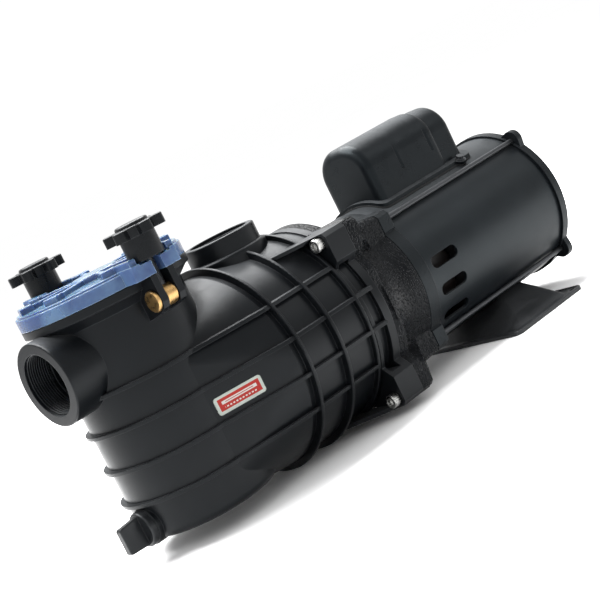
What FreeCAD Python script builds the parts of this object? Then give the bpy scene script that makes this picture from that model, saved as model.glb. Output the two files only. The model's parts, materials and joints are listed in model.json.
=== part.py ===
"""Pool pump: strainer pot, volute barrel, cast bracket and motor, as separate pieces.

Lengths are millimetres.  X runs from the suction port to the motor, Z is up from the floor and
Y = 0 is the middle plane.  Pieces are laid out from the strainer pot's axis, and save() moves
them so that the origin is the middle of the whole pump's footprint.
"""
import FreeCAD, Part
import math
import os

V = FreeCAD.Vector
PARTS_FOLDER = "parts"

# Overall layout
FRONT_X = -94.0
REAR_X = 500.0
AXIS_Z = 95.0
BARREL_Z = 101.0
COLLAR_Z = 223.0
GAP = 0.02

# Strainer pot
POT_R = 65.0
POT_WALL = 5.0
POT_BOTTOM_Z = 18.0
POT_BOTTOM_ROUND = 7.0
COLLAR_R = 76.8
COLLAR_THICKNESS = 8.0
RIB_HEIGHT = 4.7
RIB_THICKNESS = 3.2
RIB_ROUND = 1.2
RIB_LEVELS = (52.5, 84.2, 118.0, 150.0)
LEDGE_R = 56.5
LEDGE_TOP_Z = 206.0

# Suction and discharge ports, both for a 2 inch pipe thread
PORT_THREAD_R = 28.3
PORT_THREAD_LENGTH = 26.0
PORT_BORE_R = 27.0
SUCTION_R = 38.0
SUCTION_MOUTH_X = -88.9
SUCTION_Z = 178.1
DISCHARGE_R = 34.7
DISCHARGE_X = 133.8
DISCHARGE_MOUTH_Z = 215.3

# Volute barrel
BARREL_R = 94.0
BARREL_BORE_R = 87.0
BARREL_START_X = 80.0
BULKHEAD_X = (80.0, 85.0)
BULKHEAD_HOLE_R = 30.0
RING_R = 101.0
RING_XS = (87.5, 127.7)
RING_THICKNESS = 3.6
LAST_RING_X = 166.0
LAST_RING_R = 99.0
SHOULDER_TOP_Z = 165.0
SHOULDER_CORNER_R = 25.0

# Flange between housing and bracket
FLANGE_FRONT_X = 171.0
FLANGE_BACK_X = 197.0
FLANGE_R = 95.0
FLANGE_Z = 98.0
EAR_Y = 80.0
EAR_DZ = 77.5
EAR_R = 10.0
EAR_BLOCK = 28.0
EAR_SLOPE = 18.0
FLANGE_SCREW_R = 4.0
FLANGE_HEAD_R = 6.5
CHANNEL_R = 90.5
CHANNEL_X = (173.0, 188.0)

# Lid and its two swing bolts with star knobs
LID_SEAL_R = 68.1
LID_CORD_R = 1.9
LID_HEIGHT = 18.5
LID_PLATE_TOP = 13.0
LID_RECESS_R = 61.0
LID_RECESS_HEIGHT = 7.5
LID_RIB_WIDTH = 5.0
LID_RIBS = 8
LID_BOSS_R = 22.0
KNOB_CLEARANCE = 1.1
BOLT_Y = 83.6
BOLT_R = 4.0
BOLT_TOP = 34.0
PIVOT_DEPTH = 20.0
EYE_R = 9.3
PIN_HEAD_R = 9.4
EYE_HALF_WIDTH = 5.5
PIN_R = 3.0
LUG_HALF_WIDTH = 12.5
LUG_SLOT_HALF_WIDTH = 6.0
LUG_BOTTOM = 31.0
LUG_OUTER_Y = 93.0
EAR_SLOT_R = 5.0
LID_EAR_HALF_WIDTH = 17.0
LID_EAR_OUTER_Y = 93.0
LID_EAR_RELIEF = 2.0
WASHER_R = 11.0
WASHER_THICKNESS = 1.6
HUB_R = 15.4
HEAD_UNDERSIDE = 33.0
HEAD_TOP = 42.0
KNOB_TOP = 45.0
HEAD_CORE_R = 18.0
LOBE_REACH = 26.0
LOBE_HALF_WIDTH = 5.5
LOBES = 6
LOBE_TURN = {-1: 22.0, 1: -22.0}

# Impeller, diffuser and the wall behind them
IMPELLER_R = 58.0
IMPELLER_EYE_R = 26.0
IMPELLER_X = (117.0, 135.5)
IMPELLER_VANES = 6
DIFFUSER_R = 76.0
DIFFUSER_X = (104.0, 146.0)
DIFFUSER_VANES = 8
SEAL_PLATE_X = 187.0

# Label on the near side of the shoulder
LABEL_LENGTH = 43.0
LABEL_HEIGHT = 15.5

# Drain plug
DRAIN_Z = 33.0
DRAIN_THREAD_R = 9.0
DRAIN_HEAD_R = 16.0
DRAIN_WING_HALF_HEIGHT = (12.0, 13.5)
DRAIN_WING_HALF_WIDTH = 3.8
DRAIN_SEAL_R = 13.0
DRAIN_SEAL_THICKNESS = 1.6
DRAIN_BOSS_R = 17.0
DRAIN_FACE_X = -68.0

# Motor
BRACKET_BACK_X = 262.0
BRACKET_EDGE_Y = 89.0
BRACKET_REAR_R = 78.2
ARM_HALF = 8.0
BRACKET_WAIST_X = (211.0, 230.0, 250.0)
BRACKET_WAIST_R = (90.0, 80.3)
BRACKET_ARM_SHARES = ((206, 0.0), (214, 0.02), (238, 0.92), (261.5, 1.0))
SHIELD_BACK_X = 278.0
SHIELD_SEAM = 1.2
SHELL_BACK_X = 481.0
CAP_RIM_BACK_X = 490.0
SHELL_R = 77.0
SHELL_BORE_R = 74.0
SHIELD_R = 77.9
CAP_R = 79.6
ROD_Y = 51.4
ROD_DZ = 61.3
ROD_R = 2.5
ROD_SLEEVE_R = 2.9
ROD_BLOCK = 9.5
CAP_EAR_R = 10.0
EAR_ROOT_R = 52.0
STACK_X = (330.0, 420.0)
ROTOR_R = 38.6
STATOR_BORE_R = 39.0
STATOR_SLOTS = 24
WINDING_R = 61.0
WINDING_FRONT_X = 286.0
VENT_ANGLES = (4.0, -17.0, -38.0)
VENT_X = (285.0, 323.0)
VENT_WIDTH = 12.0

# Ball bearings, both the same size
BEARING_BORE_R = 10.0
BEARING_R = 23.5
BEARING_BALLS = 8
FRONT_BEARING_X = (264.0, 278.0)
REAR_BEARING_X = (473.0, 487.0)

# Capacitor cover on top of the motor
COVER_X = (302.0, 407.0)
COVER_END_X = 432.0
COVER_HALF_WIDTH = 34.5
COVER_TOP_Z = 232.0
COVER_END_TOP_Z = 229.0
COVER_WALL = 2.5
COVER_SEAT_R = SHELL_R + 1.6
COVER_END_ROUND = 9.0
COVER_FLANGE_X = (297.0, 438.0)
COVER_FLANGE_HALF_WIDTH = 39.0
COVER_FLANGE_THICKNESS = 3.0
COVER_ARCH = 29.0
COVER_SCREW_X = 417.0
COVER_SCREW_TILT = 29.0
COVER_SCREW_R = 2.0
COVER_MARK_R = 2.4
COVER_LOBE_R = 6.5
COVER_MARK_XS = (346.5, 393.0)
COVER_MARK_Z = (187.0, 211.0)
CAPACITOR_R = 22.0
CAPACITOR_Z = 202.0
GROMMET_Z = 197.0
GROMMET_BORE_R = 4.5

# Motor foot
FOOT_RIM_X = (328.0, 438.0)
FOOT_RIM_HALF_WIDTH = 98.0
FOOT_RIM_CORNER = 7.0
FOOT_BASE_X = (334.0, 426.0)
FOOT_BASE_HALF_WIDTH = 92.0
FOOT_BASE_CORNER = 11.0
FOOT_TOP_X = (393.0, 429.0)
FOOT_TOP_HALF_WIDTH = 29.0
FOOT_TOP_CORNER = 5.0
FOOT_TOP_Z = 27.0
FOOT_BEAD_HEIGHT = 4.0
FOOT_BEAD_WIDTH = 2.6
FOOT_SHEET = 3.0
FOOT_BOLT_XS = (334.5, 429.5)
FOOT_BOLT_Y = 91.0
FOOT_BOLT_R = 3.5
FOOT_SCREW_XS = (394.0, 415.0)


def cyl(radius, start, end, axis="x", at=(0.0, AXIS_Z)):
    """Cylinder from start to end along an axis; at holds the two other coordinates in order."""
    places = {
        "x": (V(start, at[0], at[1]), V(1, 0, 0)),
        "y": (V(at[0], start, at[1]), V(0, 1, 0)),
        "z": (V(at[0], at[1], start), V(0, 0, 1)),
    }
    base, direction = places[axis]
    return Part.makeCylinder(radius, end - start, base, direction)


def cone(start_r, end_r, start, end, at=(0.0, AXIS_Z)):
    """Cone frustum along X."""
    return Part.makeCone(start_r, end_r, end - start, V(start, at[0], at[1]), V(1, 0, 0))


def tube(outer, inner, start, end, axis="x", at=(0.0, AXIS_Z)):
    """Hollow cylinder."""
    return cyl(outer, start, end, axis, at).cut(cyl(inner, start - 1, end + 1, axis, at))


def box(x0, x1, y0, y1, z0, z1):
    """Box between two corners."""
    return Part.makeBox(x1 - x0, y1 - y0, z1 - z0, V(x0, y0, z0))


def joined(shapes):
    """One solid from overlapping shapes."""
    whole = shapes[0].fuse(list(shapes[1:])) if len(shapes) > 1 else shapes[0]
    return whole.removeSplitter()


def without(shape, tools):
    """Shape with every tool cut away."""
    return shape.cut(list(tools)).removeSplitter()


def mirrored(shape):
    """The shape's twin on the other side of the middle plane."""
    return shape.mirror(V(0, 0, 0), V(0, 1, 0))


def turned(shape, degrees, at=(0.0, 0.0, AXIS_Z), axis=(1, 0, 0)):
    """A copy turned about an axis."""
    copy = shape.copy()
    copy.rotate(V(*at), V(*axis), degrees)
    return copy


def prism(points, start, end, axis="x"):
    """Polygon extruded along an axis; points hold the two other coordinates in order."""
    makers = {
        "x": lambda p: V(start, p[0], p[1]),
        "y": lambda p: V(p[0], start, p[1]),
        "z": lambda p: V(p[0], p[1], start),
    }
    reach = {"x": V(end - start, 0, 0), "y": V(0, end - start, 0), "z": V(0, 0, end - start)}
    corners = [makers[axis](p) for p in points]
    corners.append(corners[0])
    return Part.Face(Part.makePolygon(corners)).extrude(reach[axis])


def belt(big, big_r, small, small_r, x0, x1):
    """Plate around two circles and the two tangents that join them, across X."""
    span = math.dist(big, small)
    heading = math.atan2(small[1] - big[1], small[0] - big[0])
    lean = math.acos((big_r - small_r) / span)
    corners = []
    circles = ((big, big_r, 1), (small, small_r, 1), (small, small_r, -1), (big, big_r, -1))
    for centre, radius, side in circles:
        angle = heading + side * lean
        corners.append((centre[0] + radius * math.cos(angle), centre[1] + radius * math.sin(angle)))
    return joined([prism(corners, x0, x1), cyl(small_r, x0, x1, at=small)])


def softened(shape, radius, picked):
    """Shape with the edges that picked() accepts rounded off."""
    return shape.makeFillet(radius, [edge for edge in shape.Edges if picked(edge)])


def at_level(axis, value):
    """Test for edges that lie wholly in the plane where an axis has a value."""
    names = {"x": ("XMin", "XMax"), "y": ("YMin", "YMax"), "z": ("ZMin", "ZMax")}[axis]

    def test(edge):
        bounds = edge.BoundBox
        return all(abs(getattr(bounds, name) - value) < 0.05 for name in names)
    return test


def round_bar(shape, radius, axis, *values):
    """Shape with the rims of its end faces rounded."""
    tests = [at_level(axis, value) for value in values]
    return softened(shape, radius, lambda edge: any(test(edge) for test in tests))


def wedge_eared_plate(radius, y, dz, ear_r, x0, x1):
    """Disc with four ears that stand out as separate wedges."""
    pieces = [cyl(radius, x0, x1)]
    for ear in four(y, dz):
        pieces.append(belt((0, AXIS_Z), EAR_ROOT_R, ear, ear_r, x0, x1))
    return joined(pieces)


def square_eared_plate(x0, x1, disc_r, disc_z, edge_y, edge_dz, block, slope):
    """Disc with four square corners that slope back to it."""
    pieces = [cyl(disc_r, x0, x1, at=(0, disc_z))]
    soft = 4.0
    inner = edge_y * 0.55
    for side_y in (-1, 1):
        for side_z in (-1, 1):
            points = [(side_y * inner, AXIS_Z), (side_y * inner, AXIS_Z + side_z * edge_dz),
                      (side_y * (edge_y - soft), AXIS_Z + side_z * edge_dz),
                      (side_y * edge_y, AXIS_Z + side_z * (edge_dz - soft)),
                      (side_y * edge_y, AXIS_Z + side_z * (edge_dz - block)),
                      (side_y * (edge_y - slope), AXIS_Z + side_z * (edge_dz - block - slope))]
            pieces.append(prism(points, x0, x1))
    return joined(pieces)


def flange_plate(x0, x1):
    """Outline shared by the volute's flange and the bracket's front plate."""
    return square_eared_plate(x0, x1, FLANGE_R, FLANGE_Z, EAR_Y + EAR_R, EAR_DZ + EAR_R - 2, EAR_BLOCK,
                              EAR_SLOPE)


def shield_plate(x0, x1, disc_r, inset=0.0):
    """Outline shared by the bracket's rear and the motor's front shield."""
    return square_eared_plate(x0, x1, disc_r - inset, AXIS_Z, ROD_Y + ROD_BLOCK - inset,
                              ROD_DZ + ROD_BLOCK - inset, 2 * (ROD_BLOCK - inset), ROD_BLOCK)


def four(y, dz, z=AXIS_Z):
    """The four corners of a rectangle of fasteners, as (y, z)."""
    return [(side_y * y, z + side_z * dz) for side_y in (-1, 1) for side_z in (-1, 1)]


def rounded_section(x, half_width, low, high, radius):
    """Closed rounded rectangle in a plane across X."""
    edges = []
    corners = ((1, 1), (-1, 1), (-1, -1), (1, -1))
    centres = [(side_y * (half_width - radius), (high - radius) if side_z > 0 else (low + radius))
               for side_y, side_z in corners]
    starts = (0, 90, 180, 270)
    points = []
    for (cy, cz), start in zip(centres, starts):
        arc_points = []
        for angle in (start, start + 45, start + 90):
            a = math.radians(angle)
            arc_points.append(V(x, cy + radius * math.cos(a), cz + radius * math.sin(a)))
        points.append(arc_points)
    for index, arc_points in enumerate(points):
        edges.append(Part.Arc(*arc_points).toShape())
        following = points[(index + 1) % 4]
        edges.append(Part.makeLine(arc_points[2], following[0]))
    return Part.Wire(edges)


def hexagon(across_r, x0, x1, at):
    """Hexagonal bar along X."""
    points = [(at[0] + across_r * math.cos(math.radians(a)), at[1] + across_r * math.sin(math.radians(a)))
              for a in range(0, 360, 60)]
    return prism(points, x0, x1)


# Wet end

def shoulder(offset):
    """Hollow that widens from the pot to the barrel, offset outwards or inwards."""
    pot_end = rounded_section(0.0, POT_R - 0.2 + offset, POT_BOTTOM_Z + 4 - offset, SHOULDER_TOP_Z + offset,
                              SHOULDER_CORNER_R + offset)
    radius = BARREL_R + offset
    barrel_end = rounded_section(BARREL_START_X, radius, BARREL_Z - radius, BARREL_Z + radius, radius - 3)
    return Part.makeLoft([pot_end, barrel_end], True, True)


def housing_skin(offset):
    """Outside of pot, shoulder and barrel, offset outwards."""
    pot = cyl(POT_R + offset, POT_BOTTOM_Z, COLLAR_Z - 1, "z", at=(0, 0))
    pot = round_bar(pot, POT_BOTTOM_ROUND, "z", POT_BOTTOM_Z)
    barrel = cyl(BARREL_R + offset, BARREL_START_X, CHANNEL_X[0], at=(0, BARREL_Z))
    return joined([pot, shoulder(offset), barrel])


def long_ribs():
    """Level ribs that run round the pot and along the barrel to the flange."""
    skin = housing_skin(RIB_HEIGHT)
    ribs = []
    for level in RIB_LEVELS:
        low, high = level - RIB_THICKNESS / 2, level + RIB_THICKNESS / 2
        ribs.append(skin.common(box(-POT_R - 10, LAST_RING_X, -110, 110, low, high)))
    return ribs


def channel_ribs():
    """Short ribs in the flange's channel, in line with the two middle long ribs."""
    ribs = []
    for level in RIB_LEVELS[1:3]:
        outer = math.sqrt((BARREL_R + RIB_HEIGHT) ** 2 - (level - BARREL_Z) ** 2)
        low, high = level - RIB_THICKNESS / 2, level + RIB_THICKNESS / 2
        for side in (-1, 1):
            y0, y1 = sorted((side * outer, side * (outer - 12)))
            ribs.append(box(LAST_RING_X - 1, CHANNEL_X[1], y0, y1, low, high))
    return ribs


def ear_web(side_y, side_z):
    """Thin web from the barrel out to the end of a flange ear."""
    edge = AXIS_Z + side_z * (EAR_DZ + EAR_R - 2)
    low, high = sorted((edge, edge - side_z * RIB_THICKNESS))
    inner = math.sqrt(BARREL_R ** 2 - (abs(edge - BARREL_Z)) ** 2) - 6
    points = [(RING_XS[1], side_y * inner), (RING_XS[1], side_y * (inner + 8)),
              (FLANGE_FRONT_X, side_y * (EAR_Y + EAR_R - 5)), (FLANGE_FRONT_X, side_y * inner)]
    return prism(points, low, high, "z")


def swing_lug(side):
    """Lug under the collar that holds a swing bolt's pin."""
    inner, outer = POT_R - 8, LUG_OUTER_Y
    bottom = COLLAR_Z - LUG_BOTTOM
    profile = [(side * inner, COLLAR_Z), (side * outer, COLLAR_Z), (side * outer, bottom + 8),
               (side * (outer - 2.5), bottom + 2.5), (side * (outer - 8), bottom), (side * inner, bottom - 5)]
    return prism(profile, -LUG_HALF_WIDTH, LUG_HALF_WIDTH, "x")


def lug_slot(side):
    """Slot for the bolt's eye, right through the lug, with the pin's hole."""
    low, high = sorted((side * (LUG_OUTER_Y + 2), side * (BOLT_Y - EYE_R - 1.5)))
    slot = box(-LUG_SLOT_HALF_WIDTH, LUG_SLOT_HALF_WIDTH, low, high, COLLAR_Z - LUG_BOTTOM - 6, COLLAR_Z + 1)
    hole_half = LUG_HALF_WIDTH + 1
    hole = cyl(PIN_R + GAP, -hole_half, hole_half, at=(side * BOLT_Y, COLLAR_Z - PIVOT_DEPTH))
    return [slot, hole]


def flange():
    """Flange with a channel round it between its two plates, solid at the corners."""
    channel = tube(130, CHANNEL_R, FLANGE_FRONT_X + 4, CHANNEL_X[1], at=(0, BARREL_Z))
    blocks = []
    for side in (-1, 1):
        edge = AXIS_Z + side * (EAR_DZ + EAR_R)
        low, high = sorted((edge, edge - side * (EAR_BLOCK + 6)))
        blocks.append(box(FLANGE_FRONT_X, FLANGE_BACK_X, -130, -56, low, high))
        blocks.append(box(FLANGE_FRONT_X, FLANGE_BACK_X, 56, 130, low, high))
    return flange_plate(FLANGE_FRONT_X, FLANGE_BACK_X).cut(channel.cut(blocks))


def pump_housing():
    """Pot, volute and ports, bonded along the middle of the first ring."""
    solids = [housing_skin(0.0)] + long_ribs() + channel_ribs()
    collar = cyl(COLLAR_R, COLLAR_Z - COLLAR_THICKNESS, COLLAR_Z, "z", at=(0, 0))
    solids.append(round_bar(collar, 1.0, "z", COLLAR_Z - COLLAR_THICKNESS, COLLAR_Z))
    solids.append(Part.makeCone(POT_R, COLLAR_R - 2, 8, V(0, 0, COLLAR_Z - COLLAR_THICKNESS - 8), V(0, 0, 1)))
    suction = cyl(SUCTION_R, SUCTION_MOUTH_X, -30, at=(0, SUCTION_Z))
    solids.append(round_bar(suction, 1.6, "x", SUCTION_MOUTH_X))
    outlet = cyl(DISCHARGE_R, BARREL_Z + 60, DISCHARGE_MOUTH_Z, "z", at=(DISCHARGE_X, 0))
    solids.append(round_bar(outlet, 1.6, "z", DISCHARGE_MOUTH_Z))
    root = cyl(DISCHARGE_R + 3.5, BARREL_Z + 60, 199, "z", at=(DISCHARGE_X, 0))
    solids.append(round_bar(root, 3.0, "z", 199))
    boss = cyl(DRAIN_BOSS_R, DRAIN_FACE_X, -45, at=(0, DRAIN_Z))
    solids.append(round_bar(boss, 1.5, "x", DRAIN_FACE_X))
    for x, radius in ((RING_XS[0], RING_R), (RING_XS[1], RING_R), (LAST_RING_X, LAST_RING_R)):
        ends = (x - RING_THICKNESS / 2, x + RING_THICKNESS / 2)
        solids.append(round_bar(cyl(radius, ends[0], ends[1], at=(0, BARREL_Z)), RIB_ROUND, "x", *ends))
    solids.append(cyl(CHANNEL_R, CHANNEL_X[0], FLANGE_BACK_X, at=(0, BARREL_Z)))
    solids.append(flange())
    for side_y in (-1, 1):
        solids.append(swing_lug(side_y))
        for side_z in (-1, 1):
            solids.append(ear_web(side_y, side_z))

    cavity_top = COLLAR_Z + 1
    tools = [cyl(POT_R - POT_WALL, LEDGE_TOP_Z, cavity_top, "z", at=(0, 0)),
             cyl(LEDGE_R, LEDGE_TOP_Z - 4, cavity_top, "z", at=(0, 0)),
             cyl(POT_R - POT_WALL, POT_BOTTOM_Z + POT_WALL, LEDGE_TOP_Z - 4, "z", at=(0, 0)),
             shoulder(-POT_WALL).common(box(0, BULKHEAD_X[0] - 5, -120, 120, 0, 260)),
             cyl(BULKHEAD_HOLE_R, 20, BULKHEAD_X[1] + 1),
             cyl(BARREL_BORE_R, BULKHEAD_X[1], FLANGE_BACK_X + 1, at=(0, BARREL_Z)),
             cyl(PORT_THREAD_R, SUCTION_MOUTH_X - 1, SUCTION_MOUTH_X + PORT_THREAD_LENGTH, at=(0, SUCTION_Z)),
             cyl(PORT_BORE_R, SUCTION_MOUTH_X, -20, at=(0, SUCTION_Z)),
             cyl(PORT_THREAD_R, DISCHARGE_MOUTH_Z - PORT_THREAD_LENGTH, DISCHARGE_MOUTH_Z + 1, "z",
                 at=(DISCHARGE_X, 0)),
             cyl(PORT_BORE_R, BARREL_Z + 40, DISCHARGE_MOUTH_Z, "z", at=(DISCHARGE_X, 0)),
             cyl(DRAIN_THREAD_R + GAP, DRAIN_FACE_X - 1, -50, at=(0, DRAIN_Z)),
             cyl(DRAIN_SEAL_R + 0.2, DRAIN_FACE_X - 1, DRAIN_FACE_X + DRAIN_SEAL_THICKNESS, at=(0, DRAIN_Z)),
             tube(LID_SEAL_R + 2.1, LID_SEAL_R - 2.1, COLLAR_Z - 3.8, COLLAR_Z + 1, "z", at=(0, 0))]
    for ear in four(EAR_Y, EAR_DZ):
        tools.append(cyl(FLANGE_SCREW_R + 0.5, FLANGE_FRONT_X - 1, FLANGE_BACK_X + 1, at=ear))
        tools.append(cyl(FLANGE_HEAD_R + 1.1, FLANGE_FRONT_X - 14, FLANGE_FRONT_X, at=ear))
    for side in (-1, 1):
        tools += lug_slot(side)
    return without(joined(solids), tools)


def outer_corner(edge):
    """True for an upright edge at the outer face of a lid's ear."""
    bounds = edge.BoundBox
    upright = bounds.YLength < 0.01 and bounds.ZLength > 5
    return upright and abs(abs(bounds.YMax) - LID_EAR_OUTER_Y) < 0.01


def lid():
    """Clear lid with crossing ribs on top and two slotted ears for the swing bolts."""
    base = COLLAR_Z
    plate_top = base + LID_PLATE_TOP
    top = base + LID_HEIGHT
    disc = cyl(COLLAR_R, base, plate_top - 2, "z", at=(0, 0))
    step = cyl(COLLAR_R - 2.2, base, plate_top, "z", at=(0, 0))
    boss = round_bar(cyl(LID_BOSS_R, base, top, "z", at=(0, 0)), 3.0, "z", top)
    pieces = [round_bar(disc, 1.0, "z", plate_top - 2), round_bar(step, 1.0, "z", plate_top), boss]
    for index in range(LID_RIBS):
        rib = box(12, COLLAR_R - 16, -LID_RIB_WIDTH / 2, LID_RIB_WIDTH / 2, plate_top - 1, top - 1)
        rib = softened(rib, 1.2, at_level("z", top - 1))
        block = box(COLLAR_R - 18, COLLAR_R - 6, -7, 7, plate_top - 1, top)
        block = softened(block, 1.2, at_level("z", top))
        for piece in (rib, block):
            pieces.append(turned(piece, 22.5 + index * 360 / LID_RIBS, at=(0, 0, 0), axis=(0, 0, 1)))
    for side in (-1, 1):
        y_inner, y_outer = sorted((side * 56, side * LID_EAR_OUTER_Y))
        ear = box(-LID_EAR_HALF_WIDTH - 7, LID_EAR_HALF_WIDTH + 7, y_inner, y_outer, base, plate_top)
        pieces.append(softened(ear, 4.0, outer_corner))
        for side_x in (-1, 1):
            x0, x1 = sorted((side_x * (HUB_R + KNOB_CLEARANCE), side_x * (LID_EAR_HALF_WIDTH + 6.5)))
            y_inner, y_outer = sorted((side * 64, side * (LID_EAR_OUTER_Y - 3)))
            block = box(x0, x1, y_inner, y_outer, plate_top - 1, top)
            pieces.append(softened(block, 1.2, at_level("z", top)))
    tools = [cyl(LID_RECESS_R, base - 1, base + LID_RECESS_HEIGHT, "z", at=(0, 0))]
    for side in (-1, 1):
        y = side * BOLT_Y
        outer = side * (LID_EAR_OUTER_Y + 1)
        low, high = sorted((y, outer))
        tools.append(cyl(EAR_SLOT_R, base - 1, top + 1, "z", at=(0, y)))
        tools.append(box(-EAR_SLOT_R, EAR_SLOT_R, low, high, base - 1, top + 1))
        slope = [(y, plate_top), (outer, plate_top - LID_EAR_RELIEF), (outer, plate_top)]
        tools.append(prism(slope, -HUB_R - KNOB_CLEARANCE, HUB_R + KNOB_CLEARANCE))
    return without(joined(pieces), tools)


def strainer_basket():
    """Basket with slotted wall and floor, an inlet window and a carrying bar."""
    floor_z = 37.0
    outer_r = 54.5
    inner_r = 52.5
    top_z = LEDGE_TOP_Z + 3
    wall = tube(outer_r, inner_r, floor_z, top_z, "z", at=(0, 0))
    floor = cyl(outer_r, floor_z, floor_z + 2.5, "z", at=(0, 0))
    rim = tube(58.5, inner_r, LEDGE_TOP_Z, top_z, "z", at=(0, 0))
    bar = cyl(3, -53.5, 53.5, "y", at=(0, top_z + 5))
    posts = [box(-3, 3, side * 53.5 - 2 * (side > 0), side * 53.5 + 2 * (side < 0), top_z - 2, top_z + 8)
             for side in (-1, 1)]
    whole = joined([wall, floor, rim, bar] + posts)
    tools = [cyl(PORT_BORE_R + 1, -outer_r - 4, -30, at=(0, SUCTION_Z))]
    slots = 28
    for index in range(slots):
        angle = (index + 0.5) * 360 / slots
        slot = box(inner_r - 2, outer_r + 2, -1.6, 1.6, floor_z + 12, SUCTION_Z - PORT_BORE_R - 14)
        tools.append(turned(slot, angle, at=(0, 0, 0), axis=(0, 0, 1)))
    for index in range(12):
        slot = box(16, 44, -1.6, 1.6, floor_z - 1, floor_z + 4)
        tools.append(turned(slot, index * 30, at=(0, 0, 0), axis=(0, 0, 1)))
    return without(whole, tools)


def swing_bolt(side):
    """Eye bolt that holds the lid's ear down."""
    y = side * BOLT_Y
    pivot_z = COLLAR_Z - PIVOT_DEPTH
    eye = cyl(EYE_R, -EYE_HALF_WIDTH, EYE_HALF_WIDTH, at=(y, pivot_z))
    shank = cyl(BOLT_R, pivot_z, COLLAR_Z + BOLT_TOP, "z", at=(0, y))
    return without(joined([eye, shank]), [cyl(PIN_R + 0.05, -10, 10, at=(y, pivot_z))])


def pivot_pin(side):
    """Headed pin through the lug, with a riveted end."""
    at = (side * BOLT_Y, COLLAR_Z - PIVOT_DEPTH)
    head = cyl(PIN_HEAD_R, -LUG_HALF_WIDTH - 3.5, -LUG_HALF_WIDTH, at=at)
    head = head.makeChamfer(1.0, [head.Edges[0], head.Edges[2]])
    end = cyl(6.5, LUG_HALF_WIDTH, LUG_HALF_WIDTH + 2, at=at)
    return joined([cyl(PIN_R, -LUG_HALF_WIDTH - 1, LUG_HALF_WIDTH + 1, at=at), head, end])


def knob_washer(side):
    """Plain washer under the knob, let into the hub's underside."""
    low = COLLAR_Z + LID_PLATE_TOP
    return tube(WASHER_R, BOLT_R + 0.2, low, low + WASHER_THICKNESS, "z", at=(0, side * BOLT_Y))


def star_knob(side):
    """Knob with a round hub, a lobed head and a blind threaded bore."""
    y = side * BOLT_Y
    low = COLLAR_Z + LID_PLATE_TOP + 0.1
    head_low = COLLAR_Z + HEAD_UNDERSIDE
    head_top = COLLAR_Z + HEAD_TOP
    core = round_bar(cyl(HEAD_CORE_R, head_low, head_top, "z", at=(0, y)), 1.5, "z", head_top)
    crown = round_bar(cyl(HEAD_CORE_R - 3.5, head_top - 1, COLLAR_Z + KNOB_TOP, "z", at=(0, y)), 2.0, "z",
                      COLLAR_Z + KNOB_TOP)
    pieces = [cyl(HUB_R, low, head_top, "z", at=(0, y)), core, crown]
    for index in range(LOBES):
        lobe = box(0, LOBE_REACH, y - LOBE_HALF_WIDTH, y + LOBE_HALF_WIDTH, head_low, head_top)
        upright = lambda edge: edge.BoundBox.ZLength > 5 and edge.BoundBox.XMin > LOBE_REACH - 0.1
        lobe = softened(lobe, 3.5, upright)
        lobe = softened(lobe, 1.2, lambda edge: at_level("z", head_top)(edge) and edge.BoundBox.XMax > 1)
        pieces.append(turned(lobe, LOBE_TURN[side] + index * 360 / LOBES, at=(0, y, 0), axis=(0, 0, 1)))
    bore = cyl(BOLT_R + 0.05, low - 1, COLLAR_Z + BOLT_TOP + 2, "z", at=(0, y))
    recess = cyl(WASHER_R + 0.3, low - 1, COLLAR_Z + LID_PLATE_TOP + WASHER_THICKNESS, "z", at=(0, y))
    return without(joined(pieces), [bore, recess])


def drain_plug():
    """Winged plug screwed into the pot's foot."""
    at = (0, DRAIN_Z)
    tip, root = DRAIN_WING_HALF_HEIGHT
    wing_back = DRAIN_FACE_X - 2
    wing = prism([(FRONT_X, DRAIN_Z - tip), (wing_back, DRAIN_Z - root), (wing_back, DRAIN_Z + root),
                  (FRONT_X, DRAIN_Z + tip)], -DRAIN_WING_HALF_WIDTH, DRAIN_WING_HALF_WIDTH, "y")
    wing = softened(wing, 2.5, lambda edge: edge.BoundBox.XMax < FRONT_X + 0.01 and edge.BoundBox.YLength > 1)
    wing = softened(wing, 1.2, lambda edge: edge.BoundBox.XLength > 10)
    head = round_bar(cyl(DRAIN_HEAD_R, DRAIN_FACE_X - 6, DRAIN_FACE_X, at=at), 2.0, "x", DRAIN_FACE_X - 6)
    thread = cyl(DRAIN_THREAD_R, DRAIN_FACE_X - 2, -58.5, at=at)
    return joined([wing, head, thread])


def diffuser():
    """Guide ring around the impeller, with its inlet neck in the bulkhead."""
    x0, x1 = DIFFUSER_X
    neck = tube(BULKHEAD_HOLE_R - 0.5, IMPELLER_EYE_R + 0.3, BULKHEAD_X[0] - 1, x0 + 2)
    face = tube(DIFFUSER_R, IMPELLER_EYE_R + 0.3, x0, x0 + 3)
    shell = tube(DIFFUSER_R, DIFFUSER_R - 4, x0, x1)
    pieces = [neck, face, shell]
    for index in range(DIFFUSER_VANES):
        outline = [(-2, AXIS_Z + 60.5), (9, AXIS_Z + 74), (12, AXIS_Z + 73.4), (1.2, AXIS_Z + 60.5)]
        vane = prism(outline, x0 + 2, x1 - 8)
        pieces.append(turned(vane, index * 360 / DIFFUSER_VANES))
        leg = box(x1 - 2, SEAL_PLATE_X - 0.1, -4, 4, AXIS_Z + DIFFUSER_R - 3.8, AXIS_Z + DIFFUSER_R - 0.2)
        if index % 2 == 0:
            pieces.append(turned(leg, (index + 1) * 360 / DIFFUSER_VANES))
    return joined(pieces)


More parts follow.
